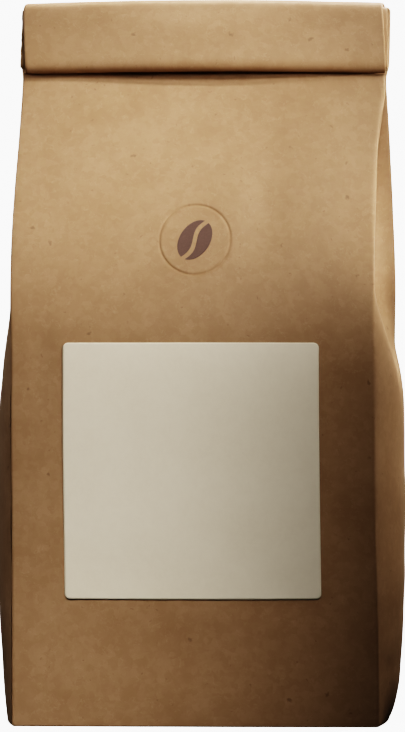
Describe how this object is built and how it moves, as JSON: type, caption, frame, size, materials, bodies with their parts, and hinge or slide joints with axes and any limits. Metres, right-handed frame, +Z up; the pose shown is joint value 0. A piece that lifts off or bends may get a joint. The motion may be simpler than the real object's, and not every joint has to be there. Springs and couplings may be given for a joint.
{
  "type": "coffee bag",
  "caption": "Standing kraft paper coffee bag with side gussets, block bottom, rolled-down top, blank square label and round valve.",
  "frame": {"origin": "middle of the flat base, on the surface the bag stands on", "axes": "+Z up the bag to the rolled top, +X to the right as seen from the front, -Y out of the front panel with the label"},
  "size_m": [0.1247, 0.0755, 0.2167],
  "materials": {
    "kraft_paper": "matte brown kraft paper with fine fibres, soft creases and faint mottling",
    "label_paper": "matte uncoated off-white label stock, blank",
    "valve_paper": "the same kraft paper pressed flat over a one-way valve",
    "brown_ink": "flat matte brown print, a plain bean shape"
  },
  "bodies": {
    "root": {"bag": "kraft_paper", "label": "label_paper", "valve": "valve_paper"}
  },
  "joints": []
}
